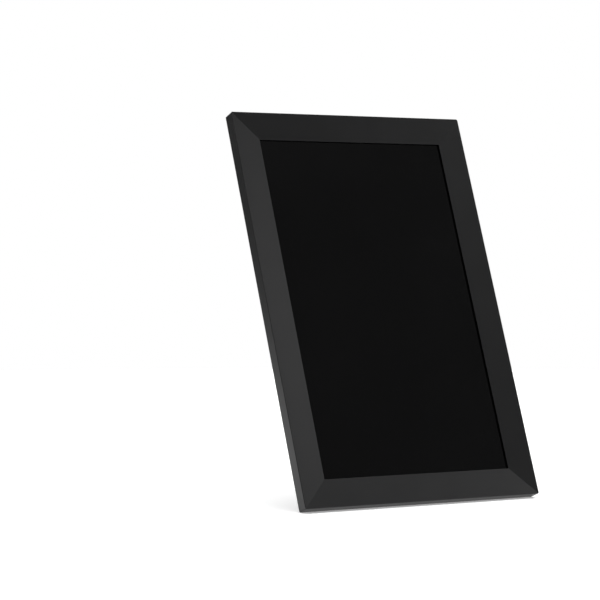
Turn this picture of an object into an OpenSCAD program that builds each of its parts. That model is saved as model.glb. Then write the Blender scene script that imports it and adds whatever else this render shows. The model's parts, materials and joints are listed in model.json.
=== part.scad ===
// Portrait smart display with a tapered back cover and a swivelling stand leg.
// Drawn lying on its face as seen from behind: x to the viewer's right,
// y up the panel, z out of its back. stand_up() leans it back on its leg.

/* [Frame] */
// Overall width of the front frame
frame_w = 168; // [160:1:176]
// Overall height of the front frame, along the panel
frame_h = 253; // [249:1:256]
// Depth of the frame at its edge
frame_d = 8; // [8:0.5:9]
// Width of the bezel face on all four sides
bezel_w = 17.6; // [16:0.2:19]
// How far the bezel face falls from its outer edge to the window
bezel_fall = 1.8; // [1:0.1:2]
// Thickness of the side wall, seen as a lip round the back
lip = 1.4; // [1.2:0.1:2]

/* [Stance] */
// Angle the panel leans back from upright
lean = 21; // [18:0.5:24]

/* [Back cover] */
// Gap from the outside of the frame to the foot of the raised cover
cover_inset = 2.4; // [2:0.1:4]
// Corner radius at the foot of the raised cover
cover_r = 22; // [16:1:30]
// Distance from the front edge plane to the flat top of the cover
cover_top = 21.5; // [21:0.5:24]
// Radius of the two round ends of the flat top
top_r = 33.5; // [31:0.5:36]
// Length of the flat top
top_len = 150; // [140:2:160]
// Half width of the connector bay
bay_half = 35.5; // [34:0.5:38]
// Height above the bottom edge of the bay's inner wall
bay_wall_y = 212; // [210:0.5:214]
// Radius of the bay's inner corners
bay_r = 8; // [6:0.5:10]

/* [Speaker holes] */
// Radius of one speaker hole
hole_r = 0.65; // [0.5:0.05:0.8]
// Distance between holes in a row
hole_pitch = 3.5; // [3.3:0.1:3.6]
// Distance between rows that line up
row_pitch = 3.6; // [3.4:0.1:3.8]

/* [Stand leg] */
// Width of the leg, and of its round top and round toe
leg_w = 29.2; // [28:0.2:30]
// Thickness of the leg
leg_t = 2.8; // [2.4:0.1:3]
// Height of the pivot above the bottom edge, along the panel
pivot_y = 86.5; // [85:0.5:88]
// Height of the bend where the leg turns away from the cover
crease_y = 74; // [73:0.5:75]
// Angle between the leg's lower part and upright
leg_slope = 20; // [18:0.5:22]
// Inside radius of the bend above the toe
toe_bend_r = 4; // [3:0.5:6]

/* [Wall hanger] */
// Radius of the keyhole's round head
key_r = 4; // [3.5:0.1:4.5]
// Width of the keyhole's slot
key_slot = 3.8; // [3.4:0.1:4.2]

/* [Hidden] */
$fn = 64;
eps = 0.01;

// Levels measured from the front edge plane towards the back
window_lip = 1.1;
wall_in = bezel_fall + window_lip;
tape_back = wall_in + 0.2;
glass_back = tape_back + 1;
cell_front = glass_back + 0.1;
cell_back = cell_front + 1;
guide_back = 6.2;
tray_back = 6.8;
tray_sheet = 0.5;
chassis_back = tray_back + 1;
plate_front = 5.7;
plate_back = 7.2;
bay_floor = 8;
bay_floor_t = 1;
insert_t = 1.2;
shelf = cover_top - insert_t;
shell_t = 1.8;
roof_in = shelf - shell_t;
board_front = 9;
board_back = 10.2;

// Screen layers, centred on the panel
mid_y = frame_h / 2;
window_w = frame_w - 2 * bezel_w;
window_h = frame_h - 2 * bezel_w;
glass_lap = 6;
tape_setback = 1;
glass_w = window_w + 2 * glass_lap;
glass_h = window_h + 2 * glass_lap;
tray_w = glass_w - 2;
tray_h = glass_h - 2;
cell_w = tray_w - 2;
cell_h = tray_h - 2;
layer_gap = 0.1;
ear_half = 4;
ear_x = frame_w / 2 - lip - 5.2;
ear_rows = [40, mid_y, frame_h - 40];
ear_boss_r = 2.5;
ear_hole_r = 0.8;
ear_hole_end = 1.6;
tip_gap = 0.2;

// Screws: head radius, head thickness and shank radius
panel_screw = [1.8, 1, 0.78];
chassis_screw = [2.2, 1.2, 1.05];
board_screw = [2, 1.1, 0.88];
cover_screw = [2.7, 0.9, 1.2];
screw_play = 0.22;
screw_fit = 0.03;

// Cover
foot_w = frame_w - 2 * cover_inset;
foot_h = frame_h - 2 * cover_inset - 0.6;
plate_gap = 0.1;
insert_r = top_r - 0.3;
insert_len = top_len - 0.6;
insert_gap = 0.1;
cavity_foot = 3.2;
cavity_top = 2.5;
bay_wall_t = 1.8;
bay_cut = 3;
post_x = 24;
post_rows = [110, 150];
post_r = 3;
post_hole_r = 1.25;
post_hole_end = 2;
cover_hole_r = 1.65;
cover_screw_tip = chassis_back + 4;
head_pocket = 1;
head_play = 0.3;

// Chassis and board
chassis_w = 126;
chassis_y0 = 21;
chassis_y1 = bay_wall_y - bay_wall_t - 0.9;
chassis_hole_x = 56;
chassis_hole_rows = [30, 195];
slot_x = 48;
slot_half = 12;
slot_rows = [60, 150];
board_x0 = -30;
board_x1 = 34;
board_y0 = 158;
board_y1 = 208;
board_hole = 3;
board_hole_rows = [161, 196];
board_post_r = 2.2;
can_size = [28, 24, 2.2];
can_x0 = -20;
can_y0 = 168;
can_sheet = 0.3;
flex_x0 = -20;
flex_w = 14;
flex_t = 0.3;
flex_start = 108;
flex_end = 166;
flex_slot = [104, 112];
flex_lift = 0.2;
flex_over = 0.4;
flex_rise = [8, 2];
antenna_size = [12, 38, 0.6];
antenna_x0 = 40;
antenna_y0 = 165;

// Ports, side by side in the bay's inner wall
jack_x = 26;
jack_z = 12.7;
jack_half = 4;
jack_h = 5;
jack_y0 = 199;
jack_depth = 9;
jack_bore_r = 1.9;
jack_pin_r = 0.6;
jack_pin_back = 1;
jack_opening_r = 3.2;
usb_x = 17.2;
usb_z = 11.9;
usb_y0 = 203;
usb_half_w = 4.45;
usb_half_t = 1.6;
usb_sheet = 0.3;
usb_play = 0.2;
usb_set_back = 0.5;
usb_back_wall = 1;
tongue_half_w = 3.3;
tongue_half_t = 0.35;
tongue_back = 1;
button_x = 9.6;
button_z = 12.4;
button_r = 2;
button_gap = 0.08;
button_proud = 0.6;
button_flange = 0.6;
button_flange_t = 0.8;
switch_y0 = 204;
switch_y1 = 207.6;
switch_half = 2.4;
switch_h = 3.6;
plunger_r = 0.9;
plunger_end = 208.8;

// Speaker holes and what sits behind them
cluster_x = 24.5;
cluster_mid = cluster_x - 1.5 * hole_pitch;
cluster_y = 85.4;
speaker_x0 = 12.6;
speaker_w = 14.6;
speaker_h = 40;
speaker_front = 9.4;
speaker_mid = speaker_x0 + speaker_w / 2;
well_depth = 4;
well_r = 5.8;
well_len = 30;
cone_gap = 0.1;
cone_t = 0.4;
cap_r = 3.4;
cap_len = 20;
cap_t = 0.9;
sound_half_w = 6;
sound_half_h = 12.4;
mesh_half_h = 14;
gasket_half_h = 16;
gasket_lip = 0.2;
gasket_edge = 0.4;
mesh_edge = 0.6;
cone_rise = 0.6;
mesh_t = 0.15;
gasket_t = 0.6;

// Stand pivot
leg_gap = 0.6;
leg_in = cover_top + leg_gap;
leg_out = leg_in + leg_t;
boss_r = 5;
boss_clear = 0.05;
bush_r = 6.5;
flange_r = 8.5;
flange_t = 0.5;
washer_t = 0.5;
washer_r = 8;
washer_gap = 0.3;
stack_gap = 0.15;
spigot_r = 3.5;
plate_r = 9;
plate_t = 1;
tab_r = 11;
tab_angle = 12;
stop_r0 = 9.4;
stop_r1 = 12.4;
stop_h = 1.9;
stop_span = 14;
stop_gap = 2;
swing = 90;
pivot_shank_r = 1.3;
pivot_head_r = 4.2;
pivot_head_t = 1.8;
pivot_tip = 0.5;
plate_face = roof_in - washer_t - stack_gap;
spigot_end = plate_face - plate_t - 0.05;

// Toe: a flat tongue with a round end, whose centre lies just inside the bend
toe_pull = 2;
pad_sink = 0.4;
pad_rest = 0.4;
pad_inset = 3;
pad_gap = 0.05;
toe_bottom = pad_rest;
toe_top = toe_bottom + leg_t;
bend_steps = 12;

// Wall hanger, on its side for hanging the panel in landscape
key_x = 25;
key_end = 30.6;
key_play = 0.2;
key_plate_t = 1;
key_plate_back = 8;
key_plate_front = 9.6;
key_plate_half = 7;

half_depth = (frame_h * sin(lean) - frame_d * cos(lean)) / 2;

// ---- Placing ----
module stand_up()
    translate([0, -half_depth, 0]) rotate([-lean, 0, 0]) rotate([90, 0, 180])
        translate([0, 0, -frame_d]) children();

// Turns an upright side outline (x back, y up) into a strip across the leg
module across(width)
    translate([-width / 2, -half_depth, 0]) rotate([90, 0, 90]) linear_extrude(width) children();

module slab(z0, z1)
    translate([0, 0, z0]) linear_extrude(z1 - z0) children();

module sheet(w, h, z0, z1)
    slab(z0, z1) translate([-w / 2, mid_y - h / 2]) square([w, h]);

module block(x0, y0, z0, x1, y1, z1)
    translate([x0, y0, z0]) cube([x1 - x0, y1 - y0, z1 - z0]);

module post(x, y, z0, z1, r)
    translate([x, y, z0]) cylinder(r = r, h = z1 - z0);

// A rod along the panel's height
module rod(x, z, y0, y1, r)
    translate([x, y0, z]) rotate([-90, 0, 0]) cylinder(r = r, h = y1 - y0);

// A screw whose head sits on seat_z, on the side towards the back
module screw(size, seat_z, tip_z) {
    post(0, 0, seat_z, seat_z + size[1], size[0]);
    post(0, 0, tip_z, seat_z + eps, size[2]);
}

module mirrored() {
    children();
    mirror([1, 0, 0]) children();
}

module at_posts()
    for (x = [-post_x, post_x], y = post_rows) translate([x, y, 0]) children();

module at_ears()
    for (x = [-ear_x, ear_x], y = ear_rows) translate([x, y, 0]) children();

module at_board_holes()
    for (x = [board_x0 + board_hole, board_x1 - board_hole], y = board_hole_rows)
        translate([x, y, 0]) children();

module at_chassis_holes()
    for (x = [-chassis_hole_x, chassis_hole_x], y = chassis_hole_rows)
        translate([x, y, 0]) children();

// ---- Outlines ----
// The four corner circles of a round-cornered rectangle, ready for a hull
module corner_circles(w, h, r)
    for (i = [0 : 3]) {
        sx = i % 2 == 0 ? 1 : -1;
        sy = i < 2 ? 1 : -1;
        translate([sx * (w / 2 - r), sy * (h / 2 - r)]) circle(r, $fn = 96);
    }

module stadium(r, length) {
    for (side = [-1, 1]) translate([0, side * (length / 2 - r)]) circle(r, $fn = 128);
    square([2 * r, length - 2 * r], center = true);
}

module keyhole(grow) {
    translate([key_x, mid_y]) circle(key_r + grow);
    translate([key_end, mid_y]) circle(key_slot / 2 + grow);
    translate([key_x, mid_y - key_slot / 2 - grow])
        square([key_end - key_x, key_slot + 2 * grow]);
}

// One speaker's holes: two staggered grids, with the corners left off
module hole_cluster() {
    for (i = [0 : 3], j = [-3 : 3])
        if (abs(j) < 3 || (i > 0 && i < 3))
            translate([cluster_x - i * hole_pitch, cluster_y + j * row_pitch])
                circle(hole_r, $fn = 16);
    for (i = [0 : 2], j = [-3 : 2])
        translate([cluster_x - (i + 0.5) * hole_pitch, cluster_y + (j + 0.5) * row_pitch])
            circle(hole_r, $fn = 16);
}

module speaker_window(grow)
    translate([cluster_mid, cluster_y])
        square([2 * (sound_half_w + grow), 2 * (sound_half_h + grow)], center = true);

// ---- Front frame and screen ----
// A wedge-fronted prism; two of them crossed give four mitred bezel faces
module bezel_prism(span, run) {
    b = bezel_w;
    rotate([90, 0, 90]) translate([0, 0, -run / 2]) linear_extrude(run)
        polygon([[-span / 2, 0], [-span / 2 + b, bezel_fall], [span / 2 - b, bezel_fall],
                 [span / 2, 0], [span / 2, frame_d], [-span / 2, frame_d]]);
}

module front_frame()
    color([0.05, 0.05, 0.052]) stand_up() difference() {
        translate([0, mid_y, 0]) {
            bezel_prism(frame_h, frame_w);
            rotate([0, 0, 90]) bezel_prism(frame_w, frame_h);
        }
        sheet(window_w, window_h, -eps, wall_in + eps);
        difference() {
            sheet(frame_w - 2 * lip, frame_h - 2 * lip, wall_in, frame_d + eps);
            at_ears() post(0, 0, wall_in - eps, cell_front, ear_boss_r);
        }
        at_ears() post(0, 0, ear_hole_end, cell_front + eps, ear_hole_r);
    }

module glass_tape()
    color([0.02, 0.02, 0.02]) stand_up() difference() {
        sheet(glass_w, glass_h, wall_in, tape_back);
        sheet(window_w + 2 * tape_setback, window_h + 2 * tape_setback, wall_in - eps,
              tape_back + eps);
    }

module cover_glass()
    color([0.01, 0.01, 0.012]) stand_up() sheet(glass_w, glass_h, tape_back, glass_back);

module lcd_cell()
    color([0.03, 0.03, 0.04]) stand_up()
        sheet(cell_w, cell_h, cell_front, cell_back);

module light_guide()
    color([0.9, 0.9, 0.88]) stand_up()
        sheet(cell_w, cell_h, cell_back + layer_gap, guide_back);

module panel_tray()
    color([0.55, 0.56, 0.57]) stand_up() difference() {
        union() {
            sheet(tray_w, tray_h, cell_front, tray_back);
            for (y = ear_rows)
                block(-ear_x - ear_half, y - ear_half, cell_front,
                      ear_x + ear_half, y + ear_half, cell_front + tray_sheet);
        }
        sheet(tray_w - 2 * tray_sheet, tray_h - 2 * tray_sheet, cell_front - eps,
              tray_back - tray_sheet);
        at_ears() post(0, 0, cell_front - eps, cell_front + 1, panel_screw[2] + screw_play);
        at_chassis_holes() post(0, 0, guide_back - 1, tray_back + eps, chassis_screw[2] + screw_fit);
    }

module panel_screws()
    color([0.7, 0.7, 0.72]) stand_up()
        at_ears() screw(panel_screw, cell_front + tray_sheet, ear_hole_end + tip_gap);

// ---- Chassis and electronics ----
module chassis()
    color([0.68, 0.69, 0.7]) stand_up() difference() {
        union() {
            block(-chassis_w / 2, chassis_y0, tray_back, chassis_w / 2, chassis_y1, chassis_back);
            at_posts() post(0, 0, chassis_back - eps, roof_in, post_r);
            at_board_holes() post(0, 0, chassis_back - eps, board_front, board_post_r);
        }
        at_posts() post(0, 0, chassis_back + post_hole_end, roof_in + eps, post_hole_r);
        at_board_holes() post(0, 0, tray_back - eps, board_front + eps, board_screw[2] + screw_fit);
        at_chassis_holes()
            post(0, 0, tray_back - eps, chassis_back + eps, chassis_screw[2] + screw_play);
        for (side = [-1, 1])
            translate([side * slot_x, 0, 0])
                block(-slot_half, slot_rows[0], tray_back - eps,
                      slot_half, slot_rows[1], chassis_back + eps);
        block(flex_x0 - 1, flex_slot[0], tray_back - eps,
              flex_x0 + flex_w + 1, flex_slot[1], chassis_back + eps);
    }

module chassis_screws()
    color([0.7, 0.7, 0.72]) stand_up()
        at_chassis_holes() screw(chassis_screw, chassis_back, guide_back + tip_gap);

module main_board()
    color([0.05, 0.28, 0.14]) stand_up() difference() {
        block(board_x0, board_y0, board_front, board_x1, board_y1, board_back);
        at_board_holes()
            post(0, 0, board_front - eps, board_back + eps, board_screw[2] + screw_play);
    }

module shield_can()
    color([0.75, 0.76, 0.77]) stand_up() difference() {
        translate([can_x0, can_y0, board_back]) cube(can_size);
        translate([can_x0 + can_sheet, can_y0 + can_sheet, board_back - can_sheet])
            cube([can_size[0] - 2 * can_sheet, can_size[1] - 2 * can_sheet, can_size[2]]);
    }

module board_screws()
    color([0.7, 0.7, 0.72]) stand_up()
        at_board_holes() screw(board_screw, board_back, chassis_back + tip_gap);

// Flat cable: out through the chassis slot, up to the board's lower edge
module display_cable() {
    low = chassis_back + flex_lift;
    high = board_back + flex_over;
    rise = [board_y0 - flex_rise[0], board_y0 - flex_rise[1]];
    color([0.75, 0.45, 0.12]) stand_up()
        translate([flex_x0, 0, 0]) rotate([90, 0, 90]) linear_extrude(flex_w)
            polygon([[flex_start, low], [rise[0], low], [rise[1], high], [flex_end, high],
                     [flex_end, high + flex_t], [rise[1] - flex_t / 2, high + flex_t],
                     [rise[0] - flex_t / 2, low + flex_t], [flex_start, low + flex_t]]);
}

module wifi_antenna()
    color([0.2, 0.2, 0.22]) stand_up()
        translate([antenna_x0, antenna_y0, chassis_back]) cube(antenna_size);

module power_inlet()
    color([0.04, 0.04, 0.04]) stand_up() {
        face = bay_wall_y - bay_wall_t - 0.1;
        difference() {
            block(jack_x - jack_half, jack_y0, board_back, jack_x + jack_half, face,
                  board_back + jack_h);
            rod(jack_x, jack_z, face - jack_depth, bay_wall_y, jack_bore_r);
        }
        rod(jack_x, jack_z, face - jack_depth - 0.5, face - jack_pin_back, jack_pin_r);
    }

module usb_socket()
    color([0.72, 0.72, 0.74]) stand_up() {
        y1 = bay_wall_y - usb_set_back;
        difference() {
            translate([0, usb_y0, 0]) usb_outline(usb_half_w, usb_half_t, y1 - usb_y0);
            translate([0, usb_y0 + usb_back_wall, 0])
                usb_outline(usb_half_w - usb_sheet, usb_half_t - usb_sheet, y1 - usb_y0);
        }
        block(usb_x - tongue_half_w, usb_y0 + usb_back_wall / 2, usb_z - tongue_half_t,
              usb_x + tongue_half_w, y1 - tongue_back, usb_z + tongue_half_t);
    }

module usb_outline(half_w, half_t, length)
    translate([usb_x, 0, usb_z]) rotate([-90, 0, 0]) linear_extrude(length) {
        for (side = [-1, 1]) translate([side * (half_w - half_t), 0]) circle(half_t, $fn = 32);
        square([2 * (half_w - half_t), 2 * half_t], center = true);
    }

module power_switch()
    color([0.12, 0.12, 0.12]) stand_up() {
        block(button_x - switch_half, switch_y0, board_back, button_x + switch_half, switch_y1,
              board_back + switch_h);
        rod(button_x, button_z, switch_y1 - eps, plunger_end, plunger_r);
    }

module power_button()
    color([0.06, 0.06, 0.06]) stand_up() {
        back = bay_wall_y - bay_wall_t;
        rod(button_x, button_z, back - 0.2, bay_wall_y + button_proud, button_r);
        rod(button_x, button_z, back - button_flange_t - 0.1, back - 0.1,
            button_r + button_flange);
    }

// ---- Sound ----
module speaker_box() {
    difference() {
        block(speaker_x0, cluster_y - speaker_h / 2, speaker_front,
              speaker_x0 + speaker_w, cluster_y + speaker_h / 2,
              roof_in - mesh_t - gasket_t);
        translate([speaker_mid, cluster_y, roof_in - well_depth])
            linear_extrude(well_depth) stadium(well_r, well_len);
    }
}

module cone() {
    floor_z = roof_in - well_depth + cone_rise;
    translate([speaker_mid, cluster_y, floor_z])
        linear_extrude(cone_t) stadium(well_r - cone_gap, well_len - 2 * cone_gap);
    translate([speaker_mid, cluster_y, floor_z + cone_t - 0.1])
        linear_extrude(cap_t) stadium(cap_r, cap_len);
}

module speaker_left()
    color([0.1, 0.1, 0.1]) stand_up() mirror([1, 0, 0]) speaker_box();

module speaker_right()
    color([0.1, 0.1, 0.1]) stand_up() speaker_box();

module cone_left()
    color([0.16, 0.16, 0.17]) stand_up() mirror([1, 0, 0]) cone();

module cone_right()
    color([0.16, 0.16, 0.17]) stand_up() cone();

module speaker_gaskets()
    color([0.08, 0.08, 0.08]) stand_up() mirrored() difference() {
        block(speaker_x0 + 0.1, cluster_y - gasket_half_h, roof_in - mesh_t - gasket_t,
              speaker_x0 + speaker_w - gasket_edge, cluster_y + gasket_half_h,
              roof_in - mesh_t);
        slab(roof_in - 1, roof_in) speaker_window(gasket_lip);
    }

module speaker_mesh()
    color([0.03, 0.03, 0.03]) stand_up() mirrored()
        block(speaker_x0 + 0.1, cluster_y - mesh_half_h, roof_in - mesh_t,
              speaker_x0 + speaker_w - mesh_edge, cluster_y + mesh_half_h, roof_in);

// ---- Rear cover ----
module raised_shape(foot_grow, foot_z, roof_r, roof_len, roof_z)
    hull() {
        translate([0, mid_y, foot_z]) linear_extrude(eps)
            corner_circles(foot_w + foot_grow, foot_h + foot_grow, cover_r + foot_grow / 2,
                           $fn = 96);
        translate([0, mid_y, roof_z - eps]) linear_extrude(eps)
            for (side = [-1, 1]) translate([0, side * (roof_len / 2 - roof_r)])
                circle(roof_r, $fn = 96);
    }

module bay_block(grow, z0)
    slab(z0, cover_top + 1) translate([0, bay_wall_y - grow]) {
        r = bay_r + grow;
        w = 2 * (bay_half + grow);
        translate([-w / 2, r]) square([w, frame_h]);
        translate([-w / 2 + r, 0]) square([w - 2 * r, r + eps]);
        for (side = [-1, 1]) translate([side * (w / 2 - r), r]) circle(r);
    }

module stop_block(angle)
    translate([0, pivot_y, roof_in - stop_h]) rotate([0, 0, angle])
        rotate_extrude(angle = stop_span)
            translate([stop_r0, 0]) square([stop_r1 - stop_r0, stop_h + eps]);

module rear_cover()
    color([0.055, 0.055, 0.058]) stand_up() difference() {
        union() {
            difference() {
                union() {
                    sheet(frame_w - 2 * (lip + plate_gap), frame_h - 2 * (lip + plate_gap),
                          plate_front, plate_back);
                    raised_shape(0, plate_back, top_r, top_len, cover_top);
                }
                difference() {
                    raised_shape(-2 * cavity_foot, plate_front - eps, top_r + cavity_top,
                                 top_len + 2 * cavity_top, roof_in);
                    bay_block(bay_wall_t, bay_floor - bay_floor_t);
                }
                sheet(tray_w + 1, tray_h + 1, plate_front - eps, tray_back + 0.1);
            }
            stop_block(-90 + tab_angle + stop_gap);
            stop_block(-90 - swing - tab_angle - stop_gap - stop_span);
        }
        bay_block(0, bay_floor);
        translate([0, mid_y, shelf]) linear_extrude(insert_t + 1)
            stadium(insert_r, insert_len);
        slab(roof_in - 1, shelf + eps) keyhole(0);
        mirrored() slab(roof_in - 1, shelf + eps) speaker_window(0);
        post(0, pivot_y, roof_in - 1, shelf + eps, bush_r);
        at_posts() {
            post(0, 0, roof_in - 1, shelf + eps, cover_hole_r);
            post(0, 0, shelf - head_pocket, shelf + eps, cover_screw[0] + head_play);
        }
        rod(jack_x, jack_z, bay_wall_y - bay_cut, bay_wall_y + 1, jack_opening_r);
        rod(button_x, button_z, bay_wall_y - bay_cut, bay_wall_y + 1, button_r + button_gap);
        translate([0, bay_wall_y - bay_cut, 0])
            usb_outline(usb_half_w + usb_play, usb_half_t + usb_play, bay_cut + 1);
    }

module cover_screws()
    color([0.7, 0.7, 0.72]) stand_up()
        at_posts() screw(cover_screw, shelf - head_pocket, cover_screw_tip);

module keyhole_plate()
    color([0.62, 0.63, 0.64]) stand_up() difference() {
        block(key_x - key_plate_back, mid_y - key_plate_half, roof_in - key_plate_t,
              key_x + key_plate_front, mid_y + key_plate_half, roof_in);
        slab(roof_in - 2, roof_in + 1) keyhole(key_play);
    }

module back_insert()
    color([0.045, 0.045, 0.047]) stand_up() difference() {
        translate([0, mid_y, shelf]) linear_extrude(insert_t)
            stadium(insert_r - insert_gap, insert_len - 2 * insert_gap);
        slab(shelf - 1, cover_top + 1) keyhole(0);
        mirrored() slab(shelf - 1, cover_top + 1) hole_cluster();
        post(0, pivot_y, shelf - 1, cover_top + 1, bush_r);
    }

// ---- Stand ----
module pivot_bush()
    color([0.85, 0.85, 0.82]) stand_up() translate([0, pivot_y, 0]) difference() {
        union() {
            translate([0, 0, roof_in]) cylinder(r = bush_r, h = cover_top - roof_in + eps);
            translate([0, 0, cover_top]) cylinder(r = flange_r, h = flange_t);
        }
        post(0, 0, roof_in - 1, leg_in, boss_r + boss_clear);
    }

module friction_washer()
    color([0.72, 0.6, 0.3]) stand_up() translate([0, pivot_y, roof_in - washer_t])
        difference() {
            cylinder(r = washer_r, h = washer_t);
            post(0, 0, -1, washer_t + 1, boss_r + washer_gap);
        }

// Leg: back-face points in the upright side view, from the crease down
back_y = function(y, z) (z - frame_d) * cos(lean) + y * sin(lean);
back_z = function(y, z) y * cos(lean) - (z - frame_d) * sin(lean);
crease_y_out = back_y(crease_y, leg_out);
crease_z_out = back_z(crease_y, leg_out);
half_turn = (lean + leg_slope) / 2;
inner_shift = leg_t * tan(half_turn);
crease_y_in = back_y(crease_y - inner_shift, leg_in);
crease_z_in = back_z(crease_y - inner_shift, leg_in);
toe_turn = 90 - leg_slope;
bend_z = toe_top + toe_bend_r;
// Where the straight lower part's back face meets the bend
bend_start_z = bend_z - toe_bend_r * sin(leg_slope);
bend_start_y = crease_y_out + (crease_z_out - bend_start_z) * tan(leg_slope);
bend_y = bend_start_y + toe_bend_r * cos(leg_slope);
end_r = leg_w / 2 + 0.1;
toe_y = bend_y - toe_pull;
spare = 3;

// Side view of the leg, its two ends still square and a little too long
module leg_outline() {
    outer = toe_bend_r + leg_t;
    top = pivot_y + end_r + spare;
    tip = toe_y + end_r + spare;
    turn = [for (i = [0 : bend_steps]) 180 + leg_slope + toe_turn * i / bend_steps];
    polygon(concat(
        [[crease_y_in, crease_z_in], [back_y(top, leg_in), back_z(top, leg_in)],
         [back_y(top, leg_out), back_z(top, leg_out)], [crease_y_out, crease_z_out]],
        [for (a = turn) [bend_y + toe_bend_r * cos(a), bend_z + toe_bend_r * sin(a)]],
        [[tip, toe_top], [tip, toe_bottom]],
        [for (i = [bend_steps : -1 : 0])
            [bend_y + outer * cos(turn[i]), bend_z + outer * sin(turn[i])]]));
}

// What is cut off a square end to leave it round
module round_end_cutter()
    difference() {
        translate([-leg_w, 0]) square([2 * leg_w, leg_w]);
        circle(end_r, $fn = 128);
    }

module toe_pad(z0, z1, r)
    translate([0, toe_y - half_depth, z0]) linear_extrude(z1 - z0) intersection() {
        circle(r, $fn = 96);
        translate([-r, spare]) square([2 * r, r]);
    }

module stand_leg()
    color([0.06, 0.06, 0.063]) difference() {
        union() {
            across(leg_w) leg_outline();
            stand_up() {
                post(0, pivot_y, plate_face, leg_in + 1, boss_r);
                post(0, pivot_y, spigot_end, roof_in - washer_t, spigot_r);
            }
        }
        stand_up() slab(leg_in - 1, leg_out + 1) translate([0, pivot_y]) round_end_cutter();
        translate([0, toe_y - half_depth, -1]) linear_extrude(20) round_end_cutter();
        stand_up() post(0, pivot_y, roof_in - 4, leg_in, pivot_shank_r);
        toe_pad(-1, toe_bottom + pad_sink, end_r - pad_inset);
    }

module retaining_plate()
    color([0.65, 0.66, 0.67]) stand_up()
        translate([0, pivot_y, plate_face - plate_t]) difference() {
            union() {
                cylinder(r = plate_r, h = plate_t);
                rotate([0, 0, -90 - tab_angle]) rotate_extrude(angle = 2 * tab_angle)
                    translate([plate_r - 1, 0]) square([tab_r - plate_r + 1, plate_t]);
            }
            translate([0, 0, -1]) cylinder(r = spigot_r, h = plate_t + 2);
        }

module pivot_screw()
    color([0.7, 0.7, 0.72]) stand_up() {
        post(0, pivot_y, spigot_end - pivot_head_t, spigot_end, pivot_head_r);
        post(0, pivot_y, spigot_end - eps, leg_in - pivot_tip, pivot_shank_r);
    }

module foot_pad()
    color([0.03, 0.03, 0.03]) toe_pad(0, pad_rest + pad_sink, end_r - pad_inset - pad_gap);

front_frame();
glass_tape();
cover_glass();
lcd_cell();
light_guide();
panel_tray();
panel_screws();
chassis();
chassis_screws();
main_board();
shield_can();
board_screws();
display_cable();
wifi_antenna();
power_inlet();
usb_socket();
power_switch();
power_button();
speaker_left();
speaker_right();
cone_left();
cone_right();
speaker_gaskets();
speaker_mesh();
rear_cover();
cover_screws();
keyhole_plate();
back_insert();
pivot_bush();
friction_washer();
stand_leg();
retaining_plate();
pivot_screw();
foot_pad();
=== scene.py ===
import json
import math

import bmesh
import bpy
import numpy as np
from mathutils import Euler, Matrix, Vector
from mathutils.geometry import delaunay_2d_cdt


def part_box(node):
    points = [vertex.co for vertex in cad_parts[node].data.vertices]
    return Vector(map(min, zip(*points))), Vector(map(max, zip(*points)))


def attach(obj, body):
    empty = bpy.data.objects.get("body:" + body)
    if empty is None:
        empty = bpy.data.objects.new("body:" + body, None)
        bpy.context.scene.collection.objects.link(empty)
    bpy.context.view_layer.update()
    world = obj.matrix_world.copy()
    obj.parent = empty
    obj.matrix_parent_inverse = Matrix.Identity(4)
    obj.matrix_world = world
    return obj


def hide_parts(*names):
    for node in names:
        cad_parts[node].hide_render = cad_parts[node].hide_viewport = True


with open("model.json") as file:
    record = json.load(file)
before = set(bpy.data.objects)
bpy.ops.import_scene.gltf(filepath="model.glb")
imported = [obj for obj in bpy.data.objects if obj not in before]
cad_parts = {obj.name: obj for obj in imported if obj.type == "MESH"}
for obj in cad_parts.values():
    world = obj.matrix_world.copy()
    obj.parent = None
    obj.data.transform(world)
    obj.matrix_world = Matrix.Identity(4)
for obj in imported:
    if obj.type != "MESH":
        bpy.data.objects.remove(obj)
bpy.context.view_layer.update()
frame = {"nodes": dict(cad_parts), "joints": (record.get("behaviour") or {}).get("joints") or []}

MM = 0.001

# ---------------------------------------------------------------- the panel's own axes
# Shapes below are in millimetres, as seen from behind: x to the viewer's right, y up the
# panel from its bottom edge, z from the front edge plane towards the back.
swivel = next(j for j in frame["joints"] if j["name"] == "leg_swivel")
BACK = -Vector(swivel["axis"]).normalized()
UP = Vector((0, -BACK.z, BACK.y))
LEAN = math.atan2(-BACK.z, BACK.y)
frame_low, frame_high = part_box("front_frame")
span = (frame_high - frame_low) / MM
squeeze = math.cos(2 * LEAN)
FRAME_W = span.x
FRAME_H = (span.z * math.cos(LEAN) - span.y * math.sin(LEAN)) / squeeze
FRAME_D = (span.y * math.cos(LEAN) - span.z * math.sin(LEAN)) / squeeze
ORIGIN = Vector((0, frame_low.y, FRAME_D * MM * math.sin(LEAN)))
MID_Y = FRAME_H / 2
PANEL = Matrix.Translation(ORIGIN) @ (
    Matrix((Vector((-1, 0, 0)), UP, BACK)).transposed().to_4x4() @ Matrix.Scale(MM, 4)
)

# Front frame
BEZEL = 17.6
BEZEL_FALL = 1.8
WINDOW_LIP = 1.1
LIP = 1.4
CORNER_R = 1.1
OUTER_EDGE_R = 0.35
BACK_EDGE_R = 0.35
# The window's edge is thin, and the wall runs out under it
WINDOW_EDGE_R = 0.1
WINDOW_EDGE_T = 0.35
WINDOW_RELIEF = 0.7

# Back cover
PLATE_GAP = 0.1
PLATE_FRONT = 5.7
PLATE_BACK = 7.2
FOOT_HALF = (81.6, 123.8)
FOOT_R = 22
TOP_Z = 21.5
TOP_R = 33.5
TOP_HALF = 75
SHELF_Z = 20.3
ROOF_Z = 18.5
INSERT_R = 33.2
INSERT_HALF = 74.7
BAY_HALF = 35.5
BAY_Y = 212
BAY_R = 8
BAY_TOP_Z = 7.3
BAY_RISE = 0.028
BAY_EDGE_R = 0.9
BAY_CORNER_R = 0.6
BAY_WALL = 1.8
BAY_BACK = 7.0
BAY_TOP_GAP = 0.1
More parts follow.
